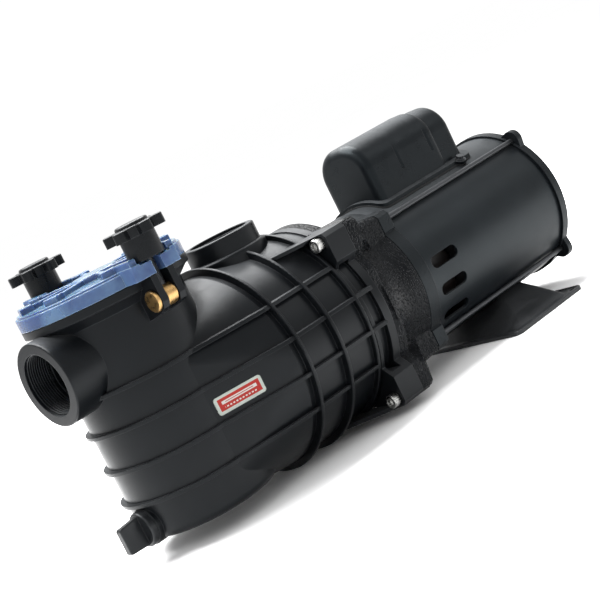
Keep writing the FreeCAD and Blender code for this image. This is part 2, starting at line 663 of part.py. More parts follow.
def impeller():
    """Closed impeller: eye ring, two shrouds, curved vanes and hub."""
    front_x, back_x = IMPELLER_X
    eye_bore = IMPELLER_EYE_R - 3.5
    pieces = [tube(IMPELLER_EYE_R, eye_bore, 96, front_x + 3),
              tube(IMPELLER_R, eye_bore, front_x, front_x + 3),
              cyl(IMPELLER_R, back_x - 3.5, back_x), cyl(14, 112, 150)]
    hub_clear = tube(IMPELLER_R - 0.5, 20, front_x + 2, back_x - 2.5)
    arc = tube(34, 31.6, front_x + 2, back_x - 2.5, at=(0, AXIS_Z + 33))
    one_side = box(front_x, back_x, 0, IMPELLER_R, AXIS_Z - 5, AXIS_Z + 70)
    vane = arc.common(hub_clear).common(one_side)
    for index in range(IMPELLER_VANES):
        pieces.append(turned(vane, index * 360 / IMPELLER_VANES))
    return without(joined(pieces), [cyl(8 + GAP, 100, 151)])


def seal_spring():
    """Coil spring behind the rotating seal ring."""
    coil = Part.makeHelix(2.4, 7.4, 12.5)
    profile = Part.Wire([Part.makeCircle(0.8, V(12.5, 0, 0), V(0, 1, 0))])
    wire = Part.Wire(coil.Edges).makePipeShell([profile], True, True)
    wire.rotate(V(0, 0, 0), V(0, 1, 0), 90)
    wire.translate(V(151.2, 0, AXIS_Z))
    return wire


def seal_plate():
    """Back wall of the volute, with the pocket for the seal's seat."""
    plate = cyl(BARREL_BORE_R - 0.2, SEAL_PLATE_X, FLANGE_BACK_X, at=(0, BARREL_Z))
    boss = cyl(27, 168, SEAL_PLATE_X + 1)
    tools = [cyl(18 + GAP, 167, 176), cyl(11, 160, 200),
             tube(BARREL_BORE_R + 2, BARREL_BORE_R - 3.6, 190, 193.6, at=(0, BARREL_Z))]
    return without(joined([plate, boss]), tools)


# Bracket and motor

def motor_bracket():
    """Cast adapter between volute and motor: front plate, waisted body and four thick arms."""
    front = flange_plate(FLANGE_BACK_X, 208)
    front = front.common(box(190, 210, -BRACKET_EDGE_Y, BRACKET_EDGE_Y, 0, 250))
    start_x, middle_x, end_x = BRACKET_WAIST_X
    start_r, middle_r = BRACKET_WAIST_R
    corners = [V(start_x - 5, 0, 0), V(start_x - 5, 0, start_r + 1), V(start_x, 0, start_r),
               V(end_x, 0, BRACKET_REAR_R), V(BRACKET_BACK_X, 0, BRACKET_REAR_R), V(BRACKET_BACK_X, 0, 0)]
    waist = Part.Arc(corners[2], V(middle_x, 0, middle_r), corners[3]).toShape()
    lines = [Part.makeLine(corners[0], corners[1]), Part.makeLine(corners[1], corners[2]), waist]
    lines += [Part.makeLine(corners[3], corners[4]), Part.makeLine(corners[4], corners[5]),
              Part.makeLine(corners[5], corners[0])]
    body = Part.Face(Part.Wire(lines)).revolve(V(0, 0, 0), V(1, 0, 0), 360)
    body.translate(V(0, 0, AXIS_Z))
    pieces = [front, body, shield_plate(254, BRACKET_BACK_X, BRACKET_REAR_R)]
    for ear, rod in zip(four(EAR_Y, EAR_DZ), four(ROD_Y, ROD_DZ)):
        pieces.append(bracket_arm(ear, rod))
    tools = [cone(74, 62, 209, 250), cyl(60, 190, 210), cyl(45, 240, 270), box(220, 242, -24, 24, -10, 60)]
    for ear in four(EAR_Y, EAR_DZ):
        tools.append(cyl(FLANGE_SCREW_R + 0.05, FLANGE_BACK_X - 1, 211, at=ear))
    for rod in four(ROD_Y, ROD_DZ):
        tools.append(cyl(ROD_R + 0.05, 246, BRACKET_BACK_X + 1, at=rod))
    return without(joined(pieces), tools)


def bracket_arm(front, rear):
    """Thick arm from a front ear to a rear ear, as a stepped pair of blocks."""
    side_y = math.copysign(1, front[0])
    side_z = math.copysign(1, front[1] - AXIS_Z)
    wires = []
    for x, share in BRACKET_ARM_SHARES:
        y = front[0] + (rear[0] - front[0]) * share
        z = front[1] + (rear[1] - front[1]) * share
        reach = ARM_HALF + 1.5 * share
        corner = [(y - side_y * 22, z + side_z * reach), (y + side_y * (reach - 4), z + side_z * reach),
                  (y + side_y * reach, z + side_z * (reach - 4)), (y + side_y * reach, z - side_z * 16),
                  (y - side_y * 10, z - side_z * 30), (y - side_y * 22, z - side_z * 20)]
        points = [V(x, p[0], p[1]) for p in corner]
        wires.append(Part.makePolygon(points + [points[0]]))
    return Part.makeLoft(wires, True, True)


def flange_screws():
    """Socket-head screws that clamp the housing to the bracket."""
    screws = []
    for ear in four(EAR_Y, EAR_DZ):
        head = cyl(FLANGE_HEAD_R, FLANGE_FRONT_X - 8, FLANGE_FRONT_X, at=ear)
        shank = cyl(FLANGE_SCREW_R, FLANGE_FRONT_X - 1, 209, at=ear)
        socket = hexagon(3.9, FLANGE_FRONT_X - 9, FLANGE_FRONT_X - 4, ear)
        screws.append(without(joined([head, shank]), [socket]))
    return Part.makeCompound(screws)


def front_shield():
    """Motor's front end shield with the front bearing's seat and a groove at its joint."""
    seam_x = BRACKET_BACK_X + SHIELD_SEAM
    neck = shield_plate(BRACKET_BACK_X, seam_x + 0.1, SHIELD_R, SHIELD_SEAM)
    plate = shield_plate(seam_x, SHIELD_BACK_X, SHIELD_R)
    spigot = cyl(SHELL_BORE_R - 0.05, SHIELD_BACK_X - 1, SHIELD_BACK_X + 4)
    tools = [tube(69, 30, 268, 290), cyl(BEARING_R + GAP, FRONT_BEARING_X[0], 290), cyl(12, 260, 270)]
    tools += [cyl(ROD_R + 0.1, 260, 280, at=rod) for rod in four(ROD_Y, ROD_DZ)]
    return without(joined([neck, plate, spigot]), tools)


def bearing(bore_r, outer_r, x0, x1, balls):
    """Ball bearing as its outer race, inner race and caged balls."""
    middle = (bore_r + outer_r) / 2
    ball_r = (outer_r - bore_r) * 0.29
    x_mid = (x0 + x1) / 2
    groove = Part.makeTorus(middle, ball_r + 0.03, V(x_mid, 0, AXIS_Z), V(1, 0, 0))
    outer = without(tube(outer_r, middle + ball_r * 0.55, x0, x1), [groove])
    inner = without(tube(middle - ball_r * 0.55, bore_r + GAP, x0, x1), [groove])
    ball = Part.makeSphere(ball_r, V(x_mid, 0, AXIS_Z + middle))
    cage = tube(middle + ball_r * 0.3, middle - ball_r * 0.3, x_mid - 1.2, x_mid + 1.2)
    spread = [turned(ball, index * 360 / balls) for index in range(balls)]
    return outer, inner, joined([cage] + spread)


def shaft():
    """Stepped shaft from the impeller nut to the rear bearing."""
    steps = ((6, 98, 112), (8, 112, 200), (10, 200, 279), (12, 279, 444), (10, 444, 487))
    return joined([cyl(radius, x0, x1) for radius, x0, x1 in steps])


def rotor():
    """Laminated rotor with its end rings and their fins."""
    x0, x1 = STACK_X
    pieces = [cyl(ROTOR_R, x0, x1), cyl(35.5, x0 - 8, x0 + 1), cyl(35.5, x1 - 1, x1 + 8)]
    for index in range(8):
        fin = box(x1 + 6, x1 + 14, -1.5, 1.5, AXIS_Z + 26, AXIS_Z + 34)
        pieces.append(turned(fin, index * 45))
    return without(joined(pieces), [cyl(12 + GAP, x0 - 20, x1 + 20), cyl(24, x1 + 2, x1 + 20)])


def stator_core():
    """Slotted stack of laminations."""
    x0, x1 = STACK_X
    core = tube(SHELL_BORE_R - 0.05, STATOR_BORE_R, x0, x1)
    slot = box(x0 - 1, x1 + 1, -2, 2, AXIS_Z + 42.5, AXIS_Z + 57.5)
    return without(core, [turned(slot, index * 360 / STATOR_SLOTS) for index in range(STATOR_SLOTS)])


def stator_windings():
    """Copper coils: a bar in each slot, joined by the two end turns."""
    x0, x1 = STACK_X
    bar = box(x0 - 6, x1 + 6, -1.7, 1.7, AXIS_Z + 43, AXIS_Z + 57)
    pieces = []
    for low, high in ((WINDING_FRONT_X, x0 - 4), (x1 + 4, x1 + 20)):
        ring = tube(WINDING_R, WINDING_R - 11, low, high)
        pieces.append(ring.makeFillet(4, [edge for edge in ring.Edges if edge.Closed]))
    pieces += [turned(bar, index * 360 / STATOR_SLOTS) for index in range(STATOR_SLOTS)]
    return joined(pieces)


def cooling_fan():
    """Plastic fan with straight blades, behind the windings."""
    pieces = [cyl(15, 446, 468), cyl(62, 446, 448.4)]
    for index in range(9):
        blade = box(447, 466, -1.4, 1.4, AXIS_Z + 12, AXIS_Z + 61.5)
        pieces.append(turned(blade, index * 40))
    return without(joined(pieces), [cyl(10 + GAP, 440, 470)])


def motor_shell():
    """Rolled shell with three vent slots on each side at the drive end."""
    shell = tube(SHELL_R, SHELL_BORE_R, SHIELD_BACK_X, SHELL_BACK_X)
    tools = []
    half = VENT_WIDTH / 2
    slot = joined([box(VENT_X[0] + half, VENT_X[1] - half, -90, -60, AXIS_Z - half, AXIS_Z + half),
                   cyl(half, -90, -60, "y", at=(VENT_X[0] + half, AXIS_Z)),
                   cyl(half, -90, -60, "y", at=(VENT_X[1] - half, AXIS_Z))])
    for angle in VENT_ANGLES:
        near = turned(slot, -angle)
        tools += [near, mirrored(near)]
    tools += screw_bars(COVER_SCREW_R + 0.05)
    for x in FOOT_SCREW_XS:
        tools.append(cyl(3.05, 10, 30, "z", at=(x, 0)))
    return without(shell, tools)


def rear_end_cap():
    """Domed rear cap with ears, air slots and the rear bearing's seat."""
    rim = wedge_eared_plate(CAP_R, ROD_Y, ROD_DZ, CAP_EAR_R, SHELL_BACK_X + 2, CAP_RIM_BACK_X)
    lip = cyl(CAP_R, SHELL_BACK_X, SHELL_BACK_X + 3)
    spigot = cyl(SHELL_BORE_R - 0.05, SHELL_BACK_X - 5, SHELL_BACK_X + 1)
    dome = cone(CAP_R - 5.6, 56, CAP_RIM_BACK_X - 0.5, REAR_X)
    hollow = [cyl(SHELL_BORE_R - 4, SHELL_BACK_X - 6, CAP_RIM_BACK_X),
              cone(70, 51, CAP_RIM_BACK_X - 1, REAR_X - 4)]
    shell = without(joined([rim, lip, spigot, dome]), hollow)
    boss = cyl(29, REAR_BEARING_X[0], REAR_X - 1)
    whole = joined([shell, boss])
    tools = [cyl(BEARING_R + GAP, REAR_BEARING_X[0] - 1, REAR_BEARING_X[1] + 0.5), cyl(12, 480, 494)]
    tools += [cyl(ROD_R + 0.1, 475, 495, at=rod) for rod in four(ROD_Y, ROD_DZ)]
    for index in range(12):
        slot = box(REAR_X - 8, REAR_X + 1, -3, 3, AXIS_Z + 33, AXIS_Z + 51)
        tools.append(turned(slot, 15 + index * 30))
    return without(whole, tools)


def tie_rods():
    """Four long through bolts outside the shell."""
    rods = []
    for at in four(ROD_Y, ROD_DZ):
        rods.append(joined([cyl(ROD_R, 250, CAP_RIM_BACK_X + 1, at=at),
                            cyl(ROD_SLEEVE_R, SHIELD_BACK_X, SHIELD_BACK_X + 22, at=at),
                            hexagon(5, CAP_RIM_BACK_X, CAP_RIM_BACK_X + 4, at)]))
    return Part.makeCompound(rods)


def arched_block(x0, x1, half_width, z0, z1, arch, end_round):
    """Block with a broadly rounded top and softer rims round its two ends."""
    block = box(x0, x1, -half_width, half_width, z0, z1)
    tops = lambda edge: edge.BoundBox.ZMin > z1 - 0.01 and edge.BoundBox.XLength > 1
    block = softened(block, arch, tops)
    rims = lambda edge: edge.BoundBox.XLength < 0.01 and edge.BoundBox.ZMax > z0 + 0.01
    return softened(block, end_round, rims)


def tilted(shape, side):
    """A piece drawn upright over the shaft's axis, tipped to a cover screw's place."""
    return turned(shape, -side * COVER_SCREW_TILT)


def screw_bars(radius):
    """Round bars square to the shell through the two cover screws' places."""
    bar = cyl(radius, 150, 190, "z", at=(COVER_SCREW_X, 0))
    return [tilted(bar, side) for side in (-1, 1)]


def capacitor_cover():
    """Moulded cover with a stepped rear end, sitting on the shell by its flange."""
    wall = COVER_WALL
    half = COVER_HALF_WIDTH
    seat = cyl(COVER_SEAT_R, 280, 450)
    main_block = arched_block(COVER_X[0], COVER_X[1], half, 130, COVER_TOP_Z, COVER_ARCH, COVER_END_ROUND)
    rear_block = arched_block(COVER_X[0] + 30, COVER_END_X, half - 1, 130, COVER_END_TOP_Z, COVER_ARCH - 1,
                              COVER_END_ROUND - 1)
    pieces = [main_block.cut(seat), rear_block.cut(seat), cover_flange()]
    tools = [arched_block(COVER_X[0] + wall, COVER_X[1] - wall, half - wall, 129, COVER_TOP_Z - wall,
                          COVER_ARCH - wall, COVER_END_ROUND - wall),
             arched_block(COVER_X[0] + 30, COVER_END_X - wall, half - 1 - wall, 129, COVER_END_TOP_Z - wall,
                          COVER_ARCH - 1 - wall, COVER_END_ROUND - 1 - wall),
             cyl(8 + GAP, COVER_END_X - 8, COVER_END_X + 8, at=(0, GROMMET_Z))]
    tools += screw_bars(COVER_SCREW_R + 0.1)
    for side in (-1, 1):
        for x in COVER_MARK_XS:
            tools.append(cyl(COVER_MARK_R, *COVER_MARK_Z, "z", at=(x, side * (half + 1.2))))
    whole = joined(pieces)
    for tool in tools:
        whole = whole.cut(tool)
    return whole.removeSplitter()


def cover_outline():
    """Upright outline of the cover's flange, with a lobe round each screw."""
    half = COVER_FLANGE_HALF_WIDTH
    band = box(COVER_FLANGE_X[0], COVER_FLANGE_X[1], -half, half, 140, 200)
    band = softened(band, 8.0, lambda edge: edge.BoundBox.ZLength > 50)
    return joined([band] + screw_bars(COVER_LOBE_R))


def cover_flange():
    """Flange of even thickness that follows the shell."""
    sheet = tube(COVER_SEAT_R + COVER_FLANGE_THICKNESS, COVER_SEAT_R, *COVER_FLANGE_X)
    return sheet.common(cover_outline())


def cover_gasket():
    """Thin gasket under the cover's flange."""
    sheet = tube(COVER_SEAT_R, SHELL_R + GAP, *COVER_FLANGE_X)
    window = box(COVER_X[0] + 4, COVER_END_X - 4, -28, 28, 140, 200)
    return without(sheet.common(cover_outline()), [window] + screw_bars(COVER_SCREW_R + 0.1))


def cover_screws():
    """Hexagon screws beside the rear end of the cover, square to the shell."""
    seat_z = AXIS_Z + COVER_SEAT_R + COVER_FLANGE_THICKNESS
    points = [(COVER_SCREW_X + 4.0 * math.cos(math.radians(a)), 4.0 * math.sin(math.radians(a)))
              for a in range(0, 360, 60)]
    head = prism(points, seat_z + 1, seat_z + 4, "z")
    washer = cyl(4.8, seat_z + 0.05, seat_z + 1, "z", at=(COVER_SCREW_X, 0))
    shank = cyl(COVER_SCREW_R, AXIS_Z + SHELL_BORE_R + 0.5, seat_z + 1, "z", at=(COVER_SCREW_X, 0))
    screw = joined([head, washer, shank])
    return Part.makeCompound([tilted(screw, side) for side in (-1, 1)])


def capacitor():
    """Run capacitor: can with two terminal tabs."""
    at = (0, CAPACITOR_Z)
    tabs = [box(404, 411, y - 3, y + 3, CAPACITOR_Z - 0.5, CAPACITOR_Z + 0.5) for y in (-9, 9)]
    return joined([cyl(CAPACITOR_R, 314, 405, at=at)] + tabs)


def capacitor_strap():
    """Clip that holds the capacitor to the base plate."""
    at = (0, CAPACITOR_Z)
    foot = box(352, 366, -29, 29, 177, 178.6)
    return joined([tube(CAPACITOR_R + 1.6, CAPACITOR_R + GAP, 352, 366, at=at),
                   foot.cut(cyl(CAPACITOR_R + GAP, 350, 370, at=at))])


def cover_base():
    """Plate on the shell that carries the capacitor and terminals."""
    plate = box(308, 425, -27, 27, 165, 177)
    return plate.cut(cyl(SHELL_R + GAP, 300, 430))


def terminal_board():
    """Terminal strip with four studs."""
    board = box(415, 419, -19, 19, 177, 200)
    studs = [cyl(1.8, 418, 425, at=(y, 192)) for y in (-13.5, -4.5, 4.5, 13.5)]
    return joined([board] + studs)


def cable_grommet():
    """Rubber grommet in the cover's rear wall, ready for the supply cable."""
    at = (0, GROMMET_Z)
    inner_x = COVER_END_X - COVER_WALL
    body = joined([cyl(8, inner_x, COVER_END_X, at=at), cyl(10.5, inner_x - 2.5, inner_x, at=at),
                   cyl(10.5, COVER_END_X, COVER_END_X + 3, at=at)])
    return body.cut(cyl(GROMMET_BORE_R, inner_x - 5, COVER_END_X + 5, at=at))


def foot_rectangle(x0, x1, half_width, z, radius):
    """Closed rounded rectangle in a level plane."""
    edges = []
    centres = ((x1 - radius, half_width - radius, 0), (x0 + radius, half_width - radius, 90),
               (x0 + radius, -half_width + radius, 180), (x1 - radius, -half_width + radius, 270))
    arcs = []
    for cx, cy, start in centres:
        arcs.append([V(cx + radius * math.cos(math.radians(a)), cy + radius * math.sin(math.radians(a)), z)
                     for a in (start, start + 45, start + 90)])
    for index, arc_points in enumerate(arcs):
        edges.append(Part.Arc(*arc_points).toShape())
        edges.append(Part.makeLine(arc_points[2], arcs[(index + 1) % 4][0]))
    return Part.Wire(edges)


def foot_body(inset):
    """Flared pedestal, shrunk by an inset for its inside."""
    corner = FOOT_BASE_CORNER - inset
    low = foot_rectangle(FOOT_BASE_X[0] + inset, FOOT_BASE_X[1] - inset, FOOT_BASE_HALF_WIDTH - inset,
                         1.0, corner)
    high = foot_rectangle(FOOT_TOP_X[0] + inset, FOOT_TOP_X[1] - inset, FOOT_TOP_HALF_WIDTH - inset,
                          FOOT_TOP_Z - inset * 0.9, FOOT_TOP_CORNER - inset)
    body = Part.makeLoft([low, high], True, True)
    if inset:
        floor = low.copy()
        floor.translate(V(0, 0, -2.0))
        body = body.fuse(Part.Face(floor).extrude(V(0, 0, 2.0)))
    return body


def foot_rim(inset, low, high):
    """Rounded plate under the pedestal."""
    outline = foot_rectangle(FOOT_RIM_X[0] + inset, FOOT_RIM_X[1] - inset, FOOT_RIM_HALF_WIDTH - inset, low,
                             FOOT_RIM_CORNER - inset)
    return Part.Face(outline).extrude(V(0, 0, high - low))


def motor_foot():
    """Pressed-steel foot: beaded rim, flared pedestal and a saddle strap under the shell."""
    bead = foot_rim(0.0, 0.0, FOOT_BEAD_HEIGHT)
    bead = softened(bead, 1.1, at_level("z", FOOT_BEAD_HEIGHT))
    plate = bead.cut(foot_rim(FOOT_BEAD_WIDTH, FOOT_SHEET, FOOT_BEAD_HEIGHT + 1))
    strap = tube(SHELL_R + 3, SHELL_R + 0.05, FOOT_TOP_X[0], FOOT_TOP_X[1])
    strap = strap.common(box(300, 500, -FOOT_TOP_HALF_WIDTH, FOOT_TOP_HALF_WIDTH, 0, 40))
    sheet = joined([plate, foot_body(0.0)]).cut(foot_body(FOOT_SHEET))
    tools = [cyl(SHELL_R + 0.05, 300, 500)]
    for x in FOOT_BOLT_XS:
        for side in (-1, 1):
            tools.append(cyl(FOOT_BOLT_R, -1, 30, "z", at=(x, side * FOOT_BOLT_Y)))
    for x in FOOT_SCREW_XS:
        tools.append(cyl(3.1, 0, 30, "z", at=(x, 0)))
    return without(joined([sheet, strap]), tools)


def foot_screws():
    """Screws that hold the saddle strap to the shell."""
    bottom = AXIS_Z - SHELL_R - 3
    screws = []
    for x in FOOT_SCREW_XS:
        screws.append(joined([cyl(5.5, bottom - 3.4, bottom, "z", at=(x, 0)),
                              cyl(3, bottom - 1, AXIS_Z - SHELL_R + 2.6, "z", at=(x, 0))]))
    return Part.makeCompound(screws)


def label_plate():
    """Thin blank label with round corners on the near side of the shoulder."""
    low = RIB_LEVELS[1] + 6.5
    window = box(4, 4 + LABEL_LENGTH, -100, -40, low, low + LABEL_HEIGHT)
    across = lambda edge: edge.BoundBox.YLength > 50
    return housing_skin(0.7).common(softened(window, 2.5, across)).cut(housing_skin(0.02))


def save(name, shape):
    """Write one node, moved to the pump's own origin."""
    placed = shape.copy()
    placed.translate(V(-(FRONT_X + REAR_X) / 2, 0, 0))
    solids = placed.Solids
    if not placed.isValid() or not solids:
        print("CHECK", name, "valid:", placed.isValid(), "solids:", len(solids))
    bad = [solid for solid in solids if solid.Volume <= 0]
    if bad:
        print("CHECK", name, "has a solid with no volume")
    placed = solids[0] if len(solids) == 1 else Part.makeCompound(solids)
    placed.exportStep(os.path.join(PARTS_FOLDER, name + ".step"))
    bounds = placed.BoundBox
    print("%-22s solids %2d  volume %9.1f cm3  x %7.1f %7.1f  y %7.1f %7.1f  z %6.1f %6.1f" % (
        name, len(solids), placed.Volume / 1000, bounds.XMin, bounds.XMax, bounds.YMin, bounds.YMax,
        bounds.ZMin, bounds.ZMax))


def main():
    """Build every node."""
    os.makedirs(PARTS_FOLDER, exist_ok=True)
    housing = pump_housing()
    front_half = box(-200, RING_XS[0], -200, 200, -50, 300)
    save("strainer_pot", housing.common(front_half))
    save("volute_casing", housing.cut(front_half))
    save("lid", lid())
    save("lid_seal", Part.makeTorus(LID_SEAL_R, LID_CORD_R, V(0, 0, COLLAR_Z - LID_CORD_R)))
    save("strainer_basket", strainer_basket())
    for side, word in ((-1, "near"), (1, "far")):
        save(word + "_swing_bolt", swing_bolt(side))
        save(word + "_pivot_pin", pivot_pin(side))
        save(word + "_knob_washer", knob_washer(side))
        save(word + "_knob", star_knob(side))
    save("drain_plug", drain_plug())
    save("drain_seal", tube(DRAIN_SEAL_R, DRAIN_THREAD_R + 0.1, DRAIN_FACE_X,
                            DRAIN_FACE_X + DRAIN_SEAL_THICKNESS, at=(0, DRAIN_Z)))
    save("diffuser", diffuser())
    save("impeller", impeller())
    save("impeller_nut", hexagon(10, 104.5, 112, (0, AXIS_Z)).cut(cyl(6 + GAP, 100, 113)))
    save("seal_spring", seal_spring())
    save("seal_rotating_ring", tube(15, 8 + GAP, 160.4, 167))
    save("seal_fixed_seat", tube(18, 8.6, 167, 175.9))
    save("seal_plate", seal_plate())
    save("housing_seal", Part.makeTorus(BARREL_BORE_R - 1.8, 1.75, V(191.8, 0, BARREL_Z), V(1, 0, 0)))
    save("motor_bracket", motor_bracket())
    save("flange_screws", flange_screws())
    save("water_slinger", tube(26, 10 + GAP, 226, 230))
    save("front_shield", front_shield())
    outer, inner, balls = bearing(BEARING_BORE_R, BEARING_R, *FRONT_BEARING_X, BEARING_BALLS)
    save("front_bearing_outer", outer)
    save("front_bearing_inner", inner)
    save("front_bearing_balls", balls)
    outer, inner, balls = bearing(BEARING_BORE_R, BEARING_R, *REAR_BEARING_X, BEARING_BALLS)
    save("rear_bearing_outer", outer)
    save("rear_bearing_inner", inner)
    save("rear_bearing_balls", balls)
    save("shaft", shaft())
    save("rotor", rotor())
    save("stator_core", stator_core())
    save("stator_windings", stator_windings())
    save("cooling_fan", cooling_fan())
    save("motor_shell", motor_shell())
    save("rear_end_cap", rear_end_cap())
    save("tie_rods", tie_rods())
    save("capacitor_cover", capacitor_cover())
    save("cover_gasket", cover_gasket())
    save("cover_screws", cover_screws())
    save("cover_base", cover_base())
    save("capacitor", capacitor())
    save("capacitor_strap", capacitor_strap())
    save("terminal_board", terminal_board())
    save("cable_grommet", cable_grommet())
    save("motor_foot", motor_foot())
    save("foot_screws", foot_screws())
    save("label_plate", label_plate())


main()
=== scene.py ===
"""Looks of the pool pump: finishes, threads, screws, print on the label, studio and camera.

Lengths are metres, in the frame shared with the CAD model, unless a name or a docstring says mm.
"""
import json
import math
import bmesh
import bpy
from mathutils import Matrix, Vector


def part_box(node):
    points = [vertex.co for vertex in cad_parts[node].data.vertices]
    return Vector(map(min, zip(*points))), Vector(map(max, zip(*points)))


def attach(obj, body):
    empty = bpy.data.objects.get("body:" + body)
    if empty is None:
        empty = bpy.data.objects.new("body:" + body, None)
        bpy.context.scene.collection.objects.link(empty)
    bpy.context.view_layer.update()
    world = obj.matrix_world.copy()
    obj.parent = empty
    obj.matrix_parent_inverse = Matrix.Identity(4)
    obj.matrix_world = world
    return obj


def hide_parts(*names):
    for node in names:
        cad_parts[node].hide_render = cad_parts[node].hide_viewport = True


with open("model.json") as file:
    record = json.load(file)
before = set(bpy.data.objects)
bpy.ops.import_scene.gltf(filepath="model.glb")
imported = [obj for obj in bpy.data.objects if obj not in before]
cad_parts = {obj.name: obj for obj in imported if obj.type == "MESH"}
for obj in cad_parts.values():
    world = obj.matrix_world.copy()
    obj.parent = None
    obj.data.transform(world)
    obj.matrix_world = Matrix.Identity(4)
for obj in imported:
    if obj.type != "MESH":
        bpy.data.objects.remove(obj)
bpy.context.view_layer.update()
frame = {"nodes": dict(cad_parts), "record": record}

MM = 0.001

# Places on the pump
POT_X = -203 * MM
SHAFT_Z = 95 * MM
BOLT_Y = 83.6 * MM                      # swing bolts, from the pump's middle plane
COLLAR_Z = 223 * MM
SUCTION_MOUTH = (POT_X - 88.9 * MM, 0, 178.1 * MM)
DISCHARGE_MOUTH = (POT_X + 133.8 * MM, 0, 215.3 * MM)
SCREW_X = POT_X + 171 * MM              # under the flange screws' heads
SCREW_Y = 80 * MM
SCREW_RISE = 77.5 * MM

# 2 inch pipe thread in both ports
PIPE_PITCH = 2.31 * MM
PIPE_WALL_R = 28.28 * MM
PIPE_CREST_R = 27.15 * MM
PIPE_LENGTH = 22 * MM
PIPE_START = 1.2 * MM                   # below the mouth
PIPE_STEPS = 72                         # per turn
PIPE_FADE_STEPS = 18                    # a quarter turn at each end
PIPE_LEAST_RIDGE = 0.03                 # share of the full ridge left at the very end
PIPE_RIDGE = (0.0, 0.34, 0.62, 0.96)    # where its foot, crest, crest and foot lie in one pitch

# Flange screws, mm
SCREW_SIDES = 144
SCREW_KNURLS = 36
KNURL_DEPTH = 0.22

# Swing bolts, mm
BOLT_PITCH = 1.25
BOLT_CREST_R = 4.0
BOLT_ROOT_R = 3.42
BOLT_FLANK = 3.2                        # share of the thread's depth gained per share of the pitch
BOLT_TOP = 34.0
BOLT_FOOT = -11.5
BOLT_PLAIN = 3.0                        # unthreaded length above the foot
BOLT_PLAIN_INSET = 0.1
BOLT_CHAMFER = 1.0
BOLT_CHAMFER_SLOPE = 0.5
BOLT_SIDES = 40
BOLT_STEPS = 8                          # rows per turn of thread
EYE_DEPTH = 20.0                        # eye's axis below the collar
EYE_SIDES = 72

# Studio
FLOOR_RINGS = (0.0001, 1.0, 4.0, 24.0)
FLOOR_SIDES = 96
FLOOR_PALE = (0.95, 0.95, 0.95, 1)
FLOOR_PALER = (0.97, 0.97, 0.97, 1)
AIR_STRENGTH = 1.04
LIT_POINT = (0.0, 0.0, 0.12)
CAMERA_PLACE = (-0.8784, -1.0913, 0.3165)
CAMERA_TARGET = (-0.017, 0.0, 0.12575)
CAMERA_LEAN = -26.38                    # degrees about its line of sight
CAMERA_LENS = 90.47                     # mm on a 36 mm sensor


# ---------------------------------------------------------------- material building blocks

class Graph:
    """A material's node tree, built by calls that take values or other nodes' outputs."""

    def __init__(self, name):
        self.material = bpy.data.materials.new(name)
        self.material.use_nodes = True
        self.tree = self.material.node_tree
        self.tree.nodes.clear()

    def add(self, kind, inputs=None, **settings):
        made = self.tree.nodes.new("ShaderNode" + kind)
        for key, value in settings.items():
            setattr(made, key, value)
        for key, value in (inputs or {}).items():
            if isinstance(value, bpy.types.NodeSocket):
                self.tree.links.new(value, made.inputs[key])
            else:
                made.inputs[key].default_value = value
        return made

    def math(self, operation, *values, clamp=False):
        return self.add("Math", dict(enumerate(values)), operation=operation, use_clamp=clamp).outputs[0]

    def ramp(self, value, start, end, low=0.0, high=1.0):
        places = {"Value": value, "From Min": start, "From Max": end, "To Min": low, "To Max": high}
        return self.add("MapRange", places, interpolation_type="SMOOTHSTEP").outputs["Result"]

    def ramp_linear(self, value, start, end):
        return self.add("MapRange", {"Value": value, "From Min": start, "From Max": end}).outputs["Result"]

    def mix(self, share, first, second):
        values = {0: share, 6: first, 7: second}
        return self.add("Mix", values, data_type="RGBA").outputs[2]

    def place(self):
        """Coordinates fixed to the piece itself."""
        return self.add("TexCoord").outputs["Object"]

    def stretched(self, scale):
        return self.add("Mapping", {"Vector": self.place(), "Scale": scale}).outputs["Vector"]

    def noise(self, scale, detail=3.0, rough=0.55, at=None):
        values = {"Vector": at or self.place(), "Scale": scale, "Detail": detail, "Roughness": rough}
        return self.add("TexNoise", values).outputs[0]

    def cells(self, scale):
        return self.add("TexVoronoi", {"Vector": self.place(), "Scale": scale}).outputs["Distance"]

    def rounded(self, radius):
        """Normal that rolls over edges within the radius."""
        return self.add("Bevel", {"Radius": radius}, samples=BEVEL_SAMPLES).outputs["Normal"]

    def bump(self, height, distance, normal):
        values = {"Height": height, "Distance": distance, "Strength": 1.0, "Normal": normal}
        return self.add("Bump", values).outputs["Normal"]

    def finish(self, shader):
        self.add("OutputMaterial", {"Surface": shader})
        return self.material


# Colours shared by the rigid finishes
DUST = (0.19, 0.20, 0.21, 1)
# Pale grey painted into a casting's colour as sparkle: a painted highlight
PAINTED_GLINT_GREY = (0.20, 0.20, 0.21, 1)
FAINTLY_COOL = (0.93, 0.97, 1.0)
COOL = (0.80, 0.94, 1.0)
# Paler grey of edges: partly rubbed paint, partly a painted highlight along rib crests and edges
EDGE_RUB_AND_HIGHLIGHT_GREY = (0.045, 0.047, 0.052)
STEEL = (0.36, 0.36, 0.35)
RUB_AND_HIGHLIGHT_GAIN = 2.6                         # how much paler an edge is painted, partly as rubbing and partly as a painted highlight, where it has no colour of its own
COAT_ROUGHNESS = 0.16

# Sizes of the noise patterns, per metre
DRIFT_SCALE = 11
PATCH_SCALE = 70
DUST_SCALE = 35
LUMP_SHARE = 0.45                       # lumps' scale as a share of the pits'

# What counts as an edge, by how far the normals part, and as a level top, by the normal's rise
EDGE_RANGE = (0.995, 0.86)
LEVEL_RANGE = (0.6, 1.0)
BEVEL_SAMPLES = 4


def rgba(color, gain=1.0):
    return (min(color[0] * gain, 1), min(color[1] * gain, 1), min(color[2] * gain, 1), 1)


def edge_mask(graph, rounded):
    """1 on sharp edges, 0 on flats: how far the rounded normal leans from the true one."""
    flat = graph.add("NewGeometry").outputs["Normal"]
    dot = graph.add("VectorMath", {0: rounded, 1: flat}, operation="DOT_PRODUCT").outputs["Value"]
    return graph.ramp(dot, *EDGE_RANGE)


